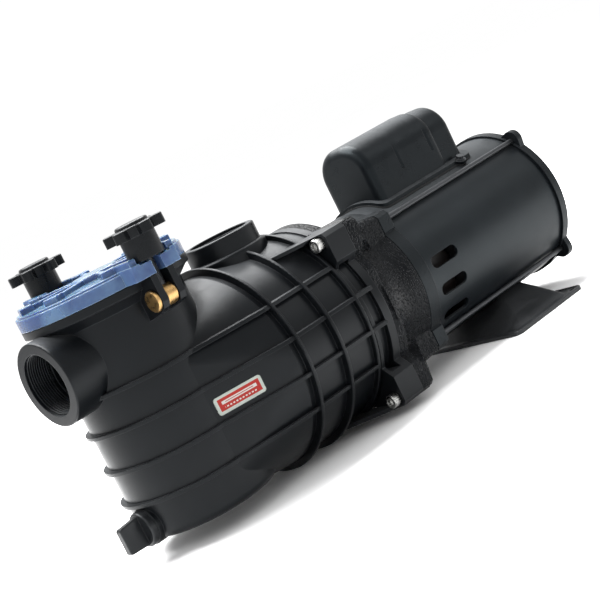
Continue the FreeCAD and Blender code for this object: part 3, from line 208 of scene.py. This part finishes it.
def upward(graph):
    """1 on level tops: where dust settles, and where the lid's top takes its painted light."""
    normal = graph.add("NewGeometry").outputs["Normal"]
    z = graph.add("SeparateXYZ", {0: normal}).outputs["Z"]
    return graph.ramp(z, *LEVEL_RANGE)


def solid_finish(name, color, rough, metal=0.0, drift=0.2, patches=0.09, grain=(1800, 20e-6), pits=None,
                 streaks=None, painted_sparkle=None, edge=0.7e-3, rub_and_highlight=0.35, rub_and_highlight_color=None, dust=0.05, coat=0.0,
                 spec=0.5, tint=FAINTLY_COOL):
    """Rigid surface: colour drift, uneven gloss, fine grain, rounded edges painted paler, partly rubbed and
    partly a painted highlight, and a little dust.

    grain, pits and streaks are (scale, depth); the sparkle is (scale, reach): pale cells painted into a
    casting's colour, a painted highlight.
    """
    graph = Graph(name)
    broad = graph.noise(DRIFT_SCALE, 3)
    patch = graph.noise(PATCH_SCALE, 4, 0.6)
    grain_scale, grain_depth = grain
    fine = graph.noise(grain_scale, 2)
    rounded = graph.rounded(edge)

    shade = graph.mix(graph.ramp(broad, 0.3, 0.7), rgba(color, 1 - drift), rgba(color, 1 + drift))
    # Edges painted paler: partly rubbing, partly a painted highlight on crests
    edge_rub_and_highlight = graph.math("MULTIPLY", edge_mask(graph, rounded), graph.ramp(patch, 0.35, 0.65, 0.3, 1.0))
    edge_rub_and_highlight = graph.math("MULTIPLY", edge_rub_and_highlight, rub_and_highlight)
    shade = graph.mix(edge_rub_and_highlight, shade, rgba(rub_and_highlight_color) if rub_and_highlight_color else rgba(color, RUB_AND_HIGHLIGHT_GAIN))
    drifts = graph.ramp(graph.noise(DUST_SCALE, 5, 0.65), 0.2, 0.8, 0.35, 1.0)
    settled = graph.math("MULTIPLY", graph.math("MULTIPLY", upward(graph), drifts), dust)
    shade = graph.mix(settled, shade, DUST)
    if painted_sparkle:
        scale, reach = painted_sparkle
        # Pale cells painted into the colour as sparkle: a painted highlight on the casting
        painted_sparkle_share = graph.ramp(graph.cells(scale), reach, reach * 0.5)
        painted_sparkle_share = graph.math("MULTIPLY", painted_sparkle_share, graph.ramp(patch, 0.4, 0.6, 0.2, 1.0))
        shade = graph.mix(painted_sparkle_share, shade, PAINTED_GLINT_GREY)

    gloss = graph.ramp(patch, 0.25, 0.75, rough - patches, rough + patches)
    gloss = graph.math("ADD", gloss, graph.math("MULTIPLY", settled, 0.9), clamp=True)
    normal = graph.bump(fine, grain_depth, rounded)
    if pits:
        scale, depth = pits
        hollows = graph.ramp(graph.cells(scale), 0.0, 0.55)
        lumps = graph.math("ADD", hollows, graph.noise(scale * LUMP_SHARE, 4, 0.6))
        normal = graph.bump(lumps, depth, normal)
        gloss = graph.math("ADD", gloss, graph.ramp(hollows, 0.0, 1.0, 0.18, -0.08), clamp=True)
    if streaks:
        scale, depth = streaks
        lines = graph.noise(1.0, 2, 0.5, at=graph.stretched(scale))
        normal = graph.bump(lines, depth, normal)
        gloss = graph.math("ADD", gloss, graph.ramp(lines, 0.3, 0.7, -0.08, 0.08), clamp=True)
    shader = graph.add("BsdfPrincipled", {
        "Base Color": shade, "Roughness": gloss, "Metallic": metal, "Normal": normal,
        "Specular IOR Level": spec, "Specular Tint": rgba(tint),
        "Coat Weight": coat, "Coat Roughness": COAT_ROUGHNESS, "Coat Normal": normal})
    return graph.finish(shader.outputs[0])


LID_SIDE = (0.051, 0.085, 0.196, 1)
# Lighter, greener tint of the lid's top: painted light, as against the sides
LID_TOP_PAINTED_LIGHT = (0.060, 0.133, 0.190, 1)
LID_HAZE = (0.093, 0.160, 0.268, 1)
# Pale tint towards the lid's edges: a painted highlight
LID_EDGE_PAINTED_HIGHLIGHT = (0.32, 0.46, 0.62, 1)
LID_IOR = 1.35
LID_SPEC = 0.3
LID_CLEARNESS = 0.9


def clear_lid_finish():
    """Tinted clear plastic: glassy and milky in patches, with a painted highlight along its edges and painted
    light on its top.
    """
    graph = Graph("lid_clear_blue")
    rounded = graph.rounded(0.9e-3)
    ripple = graph.noise(60, 3)
    haze = graph.noise(24, 4, 0.6)
    normal = graph.bump(ripple, 60e-6, rounded)
    # Painted light: level tops take the lighter tint
    tint = graph.mix(upward(graph), LID_SIDE, LID_TOP_PAINTED_LIGHT)
    tint = graph.mix(graph.ramp(haze, 0.35, 0.7), tint, LID_HAZE)
    # Painted highlight: edges paled towards the edge tint
    tint = graph.mix(graph.math("MULTIPLY", edge_mask(graph, rounded), 0.6), tint, LID_EDGE_PAINTED_HIGHLIGHT)
    gloss = graph.ramp(haze, 0.3, 0.75, 0.16, 0.3)
    shared = {"Base Color": tint, "Roughness": gloss, "IOR": LID_IOR, "Normal": normal,
              "Specular IOR Level": LID_SPEC}
    glassy = graph.add("BsdfPrincipled", {**shared, "Transmission Weight": LID_CLEARNESS})
    milky = graph.add("BsdfPrincipled", {
        **shared, "Subsurface Weight": 0.35, "Subsurface Radius": (2e-3, 4e-3, 8e-3),
        "Subsurface Scale": 1.0})
    share = graph.ramp(haze, 0.2, 0.8, 0.50, 0.68)
    shader = graph.add("MixShader", {0: share, 1: glassy.outputs[0], 2: milky.outputs[0]})
    return graph.finish(shader.outputs[0])


PAPER = ((0.22, 0.24, 0.22, 1), (0.30, 0.33, 0.30, 1))
PRINTED_RED = ((0.17, 0.005, 0.003, 1), (0.26, 0.010, 0.006, 1))
PRINTED_PALE = (0.34, 0.33, 0.31, 1)

# Printed areas: start and end across the label, then up it, as shares of its size
RED_PANEL = (0.06, 0.94, 0.17, 0.85)
PALE_BAR = (0.13, 0.87, 0.50, 0.68)
RED_LINE = (0.20, 0.80, 0.57, 0.61)
DASH_STRIP = (0.16, 0.84, 0.28, 0.36)
DASH_RATE = 95                          # radians across the label
DASH_LEVEL = -0.2                       # of the sine, so that dashes are longer than their gaps


def label_finish():
    """Printed film: pale border, red panel with plain bars and a strip of small dashes."""
    graph = Graph("label_print")
    low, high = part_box("label_plate")
    parts = graph.add("SeparateXYZ", {0: graph.place()}).outputs
    across = graph.ramp_linear(parts["X"], low.x, high.x)
    up = graph.ramp_linear(parts["Z"], low.z, high.z)

    def inside(value, start, end):
        above = graph.math("GREATER_THAN", value, start)
        return graph.math("MULTIPLY", above, graph.math("LESS_THAN", value, end))

    def within(area):
        left, right, bottom, top = area
        return graph.math("MULTIPLY", inside(across, left, right), inside(up, bottom, top))

    mottle = graph.noise(240, 3)
    paper = graph.mix(mottle, *PAPER)
    red = graph.mix(mottle, *PRINTED_RED)
    shade = graph.mix(within(RED_PANEL), paper, red)
    shade = graph.mix(within(PALE_BAR), shade, PRINTED_PALE)
    shade = graph.mix(within(RED_LINE), shade, red)
    wave = graph.math("SINE", graph.math("MULTIPLY", across, DASH_RATE))
    dashes = graph.math("GREATER_THAN", wave, DASH_LEVEL)
    dashes = graph.math("MULTIPLY", dashes, within(DASH_STRIP))
    shade = graph.mix(dashes, shade, PRINTED_PALE)
    shader = graph.add("BsdfPrincipled", {
        "Base Color": shade, "Roughness": graph.ramp(mottle, 0.3, 0.7, 0.34, 0.48),
        "Specular IOR Level": 0.2, "Normal": graph.bump(mottle, 15e-6, graph.rounded(0.3e-3))})
    return graph.finish(shader.outputs[0])


FINISHES = {
    # Housing edges painted paler: partly rubbed, partly a painted highlight on the rib crests
    "housing_plastic": dict(color=(0.0028, 0.0033, 0.0040), rough=0.33, drift=0.12, patches=0.03,
                            grain=(2200, 22e-6), edge=0.9e-3, rub_and_highlight=0.4, rub_and_highlight_color=EDGE_RUB_AND_HIGHLIGHT_GREY, dust=0.20,
                            spec=0.13),
    "knob_plastic": dict(color=(0.0028, 0.0032, 0.0038), rough=0.30, grain=(2000, 20e-6), edge=1.0e-3,
                         rub_and_highlight=0.35, rub_and_highlight_color=EDGE_RUB_AND_HIGHLIGHT_GREY, dust=0.08, spec=0.17),
    "plug_plastic": dict(color=(0.0050, 0.0055, 0.0063), rough=0.36, grain=(2000, 24e-6), edge=0.8e-3,
                         rub_and_highlight=0.3, rub_and_highlight_color=EDGE_RUB_AND_HIGHLIGHT_GREY, spec=0.24),
    "basket_plastic": dict(color=(0.24, 0.252, 0.247), rough=0.38, drift=0.06, rub_and_highlight=0.1, dust=0.3),
    "diffuser_plastic": dict(color=(0.05, 0.052, 0.055), rough=0.5, grain=(1500, 30e-6)),
    "impeller_plastic": dict(color=(0.07, 0.07, 0.075), rough=0.45, grain=(1500, 30e-6)),
    "fan_plastic": dict(color=(0.03, 0.03, 0.031), rough=0.5, grain=(1500, 30e-6)),
    "board_plastic": dict(color=(0.24, 0.13, 0.06), rough=0.5, streaks=((30, 900, 900), 20e-6)),
    "cover_paint": dict(color=(0.0026, 0.0031, 0.0038), rough=0.34, grain=(1300, 30e-6), edge=0.8e-3,
                        rub_and_highlight=0.3, rub_and_highlight_color=EDGE_RUB_AND_HIGHLIGHT_GREY, dust=0.22, spec=0.12, tint=COOL),
    "shell_paint": dict(color=(0.0032, 0.0040, 0.0050), rough=0.36, grain=(1100, 26e-6), patches=0.05,
                        dust=0.16, spec=0.16, tint=COOL),
    "shield_paint": dict(color=(0.0034, 0.0040, 0.0048), rough=0.42, grain=(900, 50e-6), pits=(520, 80e-6),
                         edge=1.0e-3, rub_and_highlight=0.3, rub_and_highlight_color=EDGE_RUB_AND_HIGHLIGHT_GREY, spec=0.13, tint=COOL),
    "foot_paint": dict(color=(0.0080, 0.0084, 0.0092), rough=0.40, grain=(900, 36e-6), edge=0.9e-3, rub_and_highlight=0.5,
                       rub_and_highlight_color=EDGE_RUB_AND_HIGHLIGHT_GREY, dust=0.12, spec=0.36),
    # The bracket's pale sparkle cells are a painted highlight in its colour
    "bracket_iron": dict(color=(0.0022, 0.0026, 0.0032), rough=0.22, grain=(1400, 190e-6), pits=(430, 560e-6),
                         painted_sparkle=(1250, 0.19), edge=1.4e-3, rub_and_highlight=0.08, rub_and_highlight_color=EDGE_RUB_AND_HIGHLIGHT_GREY, dust=0.01,
                         coat=0.01, spec=0.05),
    "bolt_brass": dict(color=(0.40, 0.25, 0.10), rough=0.34, metal=1.0, drift=0.3, rub_and_highlight=0.4,
                       rub_and_highlight_color=(0.62, 0.45, 0.24), streaks=((1400, 160, 160), 16e-6)),
    "nut_brass": dict(color=(0.60, 0.39, 0.16), rough=0.32, metal=1.0, streaks=((1400, 160, 160), 16e-6)),
    "fastener_steel": dict(color=STEEL, rough=0.27, metal=1.0, drift=0.12, rub_and_highlight=0.5,
                           rub_and_highlight_color=(0.6, 0.6, 0.58), streaks=((160, 1100, 1100), 10e-6)),
    "rod_steel": dict(color=(0.020, 0.021, 0.023), rough=0.4, metal=0.5, streaks=((1500, 100, 100), 14e-6)),
    "shaft_steel": dict(color=(0.55, 0.55, 0.54), rough=0.22, metal=1.0, streaks=((2200, 60, 60), 10e-6)),
    "bearing_steel": dict(color=(0.66, 0.66, 0.67), rough=0.14, metal=1.0, streaks=((2200, 60, 60), 6e-6)),
    # Core and windings are painted far darker than steel and copper: painted shade for the dark inside of the
    # motor seen through the vents
    "core_steel": dict(color=(0.06, 0.06, 0.065), rough=0.45, metal=0.9, streaks=((3000, 6, 6), 60e-6)),
    "winding_copper": dict(color=(0.007, 0.004, 0.003), rough=0.5, metal=0.3, drift=0.3,
                           streaks=((40, 1300, 1300), 160e-6)),
    "capacitor_can": dict(color=(0.70, 0.70, 0.69), rough=0.28, metal=1.0, streaks=((900, 30, 30), 10e-6)),
    "seal_rubber": dict(color=(0.010, 0.010, 0.010), rough=0.62, spec=0.3, grain=(1500, 40e-6)),
    "seal_carbon": dict(color=(0.03, 0.03, 0.032), rough=0.3, rub_and_highlight=0.5),
    "seal_ceramic": dict(color=(0.80, 0.79, 0.75), rough=0.18, drift=0.05, rub_and_highlight=0.1),
}


def make_finishes():
    """One material for each of the record's slots."""
    made = {name: solid_finish(name, **look) for name, look in FINISHES.items()}
    made["lid_plastic"] = clear_lid_finish()
    made["label_film"] = label_finish()
    return made


def paint(piece, material):
    piece.data.materials.clear()
    piece.data.materials.append(material)


# ---------------------------------------------------------------- new pieces

def piece_from(name, points, faces, body, slot, turn=None, smooth=True):
    """Mesh piece with its finish, riding on a body."""
    mesh = bpy.data.meshes.new(name)
    mesh.from_pydata(points, [], faces)
    solid = bmesh.new()
    solid.from_mesh(mesh)
    if turn:
        bmesh.ops.transform(solid, matrix=turn, verts=solid.verts)
    bmesh.ops.remove_doubles(solid, verts=solid.verts, dist=1e-7)
    bmesh.ops.recalc_face_normals(solid, faces=solid.faces)
    for face in solid.faces:
        face.smooth = smooth
    solid.to_mesh(mesh)
    solid.free()
    piece = bpy.data.objects.new(name, mesh)
    bpy.context.scene.collection.objects.link(piece)
    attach(piece, body)
    paint(piece, MATERIALS[slot])
    return piece


def grid_faces(rows, columns, close_rows=False):
    """Quads of a grid whose columns wrap round; optionally its rows too."""
    faces = []
    for row in range(rows if close_rows else rows - 1):
        low, high = row * columns, ((row + 1) % rows) * columns
        for column in range(columns):
            after = (column + 1) % columns
            faces.append((low + column, low + after, high + after, high + column))
    return faces


def inner_thread(name, mouth, axis):
    """Pipe thread's helical ridge, standing in from a port's wall and fading out at both ends."""
    total = int(PIPE_LENGTH / PIPE_PITCH * PIPE_STEPS)
    points = []
    for index in range(total + 1):
        angle = 2 * math.pi * index / PIPE_STEPS
        along = PIPE_PITCH * index / PIPE_STEPS
        fade = min(1.0, index / PIPE_FADE_STEPS, (total - index) / PIPE_FADE_STEPS)
        crest = PIPE_WALL_R - (PIPE_WALL_R - PIPE_CREST_R) * max(fade, PIPE_LEAST_RIDGE)
        for radius, share in zip((PIPE_WALL_R, crest, crest, PIPE_WALL_R), PIPE_RIDGE):
            height = -along - share * PIPE_PITCH
            points.append((radius * math.cos(angle), radius * math.sin(angle), height))
    faces = grid_faces(total + 1, 4)
    last = total * 4
    faces += [(3, 2, 1, 0), (last, last + 1, last + 2, last + 3)]
    axis = Vector(axis)
    start = Vector(mouth) - PIPE_START * axis
    turn = Matrix.Translation(start) @ axis.to_track_quat("Z", "Y").to_matrix().to_4x4()
    piece_from(name, points, faces, "pump", "housing_plastic", turn)


def turned_rows(profile, columns, radius_at=None):
    """Rings of a turned piece from (radius, height) pairs; radius_at may vary a ring round its axis."""
    points = []
    for row, (radius, height) in enumerate(profile):
        for column in range(columns):
            angle = 2 * math.pi * column / columns
            reach = radius_at(row, radius, angle) if radius_at else radius
            points.append((reach * math.cos(angle), reach * math.sin(angle), height))
    return points


def capped_faces(rows, columns):
    """A grid's faces with a flat cap at each end."""
    start = tuple(range(columns))
    end = tuple((rows - 1) * columns + column for column in range(columns))
    return grid_faces(rows, columns) + [start[::-1], end]


def from_mm(points):
    """The points, given in mm, in metres."""
    return [(x * MM, y * MM, z * MM) for x, y, z in points]


def socket_screw(name, at):
    """M8 socket-head screw along X: knurled head, hexagon socket and shank."""
    profile = [(3.4, 4.0), (3.9, 4.4), (3.9, 8.0), (4.6, 8.0), (5.7, 8.0), (6.2, 7.5), (6.5, 6.9), (6.5, 1.1),
               (6.3, 0.6), (5.9, 0.0), (4.0, 0.0), (4.0, -37.0), (3.2, -38.0)]
    socket_rows, knurl_rows = (0, 1, 2), (6, 7)
    half_flat = math.pi / 6

    def radius_at(row, radius, angle):
        if row in socket_rows:
            from_flat = (angle + half_flat) % (2 * half_flat) - half_flat
            return radius * math.cos(half_flat) / math.cos(from_flat)
        if row in knurl_rows:
            return radius - KNURL_DEPTH * (0.5 + 0.5 * math.cos(SCREW_KNURLS * angle))
        return radius

    points = from_mm(turned_rows(profile, SCREW_SIDES, radius_at))
    faces = capped_faces(len(profile), SCREW_SIDES)
    turn = Matrix.Translation(at) @ Matrix.Rotation(math.radians(-90), 4, "Y")
    return piece_from(name, points, faces, "pump", "fastener_steel", turn, smooth=False)


def threaded_shank(side, word):
    """Shank of an eye bolt with a cut M8 thread."""
    length = BOLT_TOP - BOLT_FOOT
    rows = int(length / BOLT_PITCH * BOLT_STEPS)
    points = []
    for row in range(rows + 1):
        height = BOLT_FOOT + length * row / rows
        for column in range(BOLT_SIDES):
            phase = (height / BOLT_PITCH - column / BOLT_SIDES) % 1.0
            rise = min(1.0, BOLT_FLANK * (0.5 - abs(phase - 0.5)))
            if height > BOLT_FOOT + BOLT_PLAIN:
                radius = BOLT_ROOT_R + (BOLT_CREST_R - BOLT_ROOT_R) * rise
            else:
                radius = BOLT_CREST_R - BOLT_PLAIN_INSET
            radius -= BOLT_CHAMFER_SLOPE * max(0.0, height - BOLT_TOP + BOLT_CHAMFER)
            angle = 2 * math.pi * column / BOLT_SIDES
            points.append((radius * math.cos(angle), radius * math.sin(angle), height))
    faces = capped_faces(rows + 1, BOLT_SIDES)
    turn = Matrix.Translation((POT_X, side * BOLT_Y, COLLAR_Z))
    body = word + "_bolt"
    piece_from(word + "_bolt_shank", from_mm(points), faces, body, "rod_steel", turn, smooth=False)


def bolt_eye(side, word):
    """Turned brass eye of a swing bolt, with grooved rims."""
    ring = [(3.05, -5.5), (3.05, 5.5), (4.2, 5.5), (4.5, 5.2), (6.4, 5.2), (6.7, 5.5),
            (8.5, 5.5), (9.1, 5.1), (9.3, 4.4), (9.3, -4.4), (9.1, -5.1), (8.5, -5.5),
            (6.7, -5.5), (6.4, -5.2), (4.5, -5.2), (4.2, -5.5)]
    points = []
    for radius, x in ring:
        for column in range(EYE_SIDES):
            angle = 2 * math.pi * column / EYE_SIDES
            points.append((x, radius * math.cos(angle), radius * math.sin(angle) - EYE_DEPTH))
    faces = grid_faces(len(ring), EYE_SIDES, close_rows=True)
    turn = Matrix.Translation((POT_X, side * BOLT_Y, COLLAR_Z))
    body = word + "_bolt"
    eye = piece_from(word + "_bolt_eye", from_mm(points), faces, body, "bolt_brass", turn, smooth=False)
    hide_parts(word + "_swing_bolt")


# ---------------------------------------------------------------- studio

def studio_floor():
    """Wide pale floor with a faint mottle."""
    points = turned_rows([(radius, 0.0) for radius in FLOOR_RINGS], FLOOR_SIDES)
    mesh = bpy.data.meshes.new("studio_floor")
    mesh.from_pydata(points, [], grid_faces(len(FLOOR_RINGS), FLOOR_SIDES))
    floor = bpy.data.objects.new("studio_floor", mesh)
    bpy.context.scene.collection.objects.link(floor)
    graph = Graph("studio_paper")
    shade = graph.mix(graph.noise(3, 2), FLOOR_PALE, FLOOR_PALER)
    shader = graph.add("BsdfPrincipled", {"Base Color": shade, "Roughness": 0.9, "Specular IOR Level": 0.0})
    paint(floor, graph.finish(shader.outputs[0]))


def soft_light(name, place, width, height, power):
    """Rectangular lamp that faces the pump."""
    lamp = bpy.data.lights.new(name, "AREA")
    lamp.shape = "RECTANGLE"
    lamp.size, lamp.size_y = width, height
    lamp.energy = power
    holder = bpy.data.objects.new(name, lamp)
    holder.location = place
    holder.rotation_mode = "QUATERNION"
    holder.rotation_quaternion = (Vector(LIT_POINT) - Vector(place)).to_track_quat("-Z", "Y")
    bpy.context.scene.collection.objects.link(holder)


def light_the_studio():
    bpy.context.scene.view_settings.view_transform = "Standard"
    world = bpy.data.worlds.new("studio_air")
    bpy.context.scene.world = world
    world.use_nodes = True
    backdrop = world.node_tree.nodes["Background"]
    backdrop.inputs["Color"].default_value = (1.0, 1.0, 1.0, 1)
    backdrop.inputs["Strength"].default_value = AIR_STRENGTH
    soft_light("top_softbox", (0.0, 0.4, 1.25), 1.9, 1.0, 92)
    soft_light("front_softbox", (-1.6, -1.0, 1.3), 0.9, 0.8, 6)
    soft_light("side_softbox", (1.3, -1.2, 1.2), 0.7, 0.7, 3)


def photo_camera():
    """Camera at the photograph's angle, distance and lean."""
    place = Vector(CAMERA_PLACE)
    lean = math.radians(CAMERA_LEAN)
    back = (place - Vector(CAMERA_TARGET)).normalized()
    level = Vector((0, 0, 1)).cross(back).normalized()
    above = back.cross(level)
    right = math.cos(lean) * level + math.sin(lean) * above
    up = math.cos(lean) * above - math.sin(lean) * level
    lens = bpy.data.cameras.new("photo_camera")
    lens.sensor_width = 36.0
    lens.lens = CAMERA_LENS
    lens.clip_start, lens.clip_end = 0.02, 30.0
    camera = bpy.data.objects.new("photo_camera", lens)
    camera.matrix_world = Matrix.Translation(place) @ Matrix((right, up, back)).transposed().to_4x4()
    bpy.context.scene.collection.objects.link(camera)
    bpy.context.scene.camera = camera


# ---------------------------------------------------------------- the scene

MATERIALS = make_finishes()
for entry in frame["record"]["subparts"]:
    paint(frame["nodes"][entry["node"]], MATERIALS[entry["material_slot"]])

inner_thread("suction_thread", SUCTION_MOUTH, (-1, 0, 0))
inner_thread("discharge_thread", DISCHARGE_MOUTH, (0, 0, 1))

# The CAD flange screws are one node, hidden here, and four screws are drawn in its place
screws = []
for y in (-SCREW_Y, SCREW_Y):
    for rise in (-SCREW_RISE, SCREW_RISE):
        name = "socket_screw_%d" % (len(screws) + 1)
        screws.append(socket_screw(name, (SCREW_X, y, SHAFT_Z + rise)))
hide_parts("flange_screws")

for side, word in ((-1, "near"), (1, "far")):
    threaded_shank(side, word)
    bolt_eye(side, word)

studio_floor()
light_the_studio()
photo_camera()
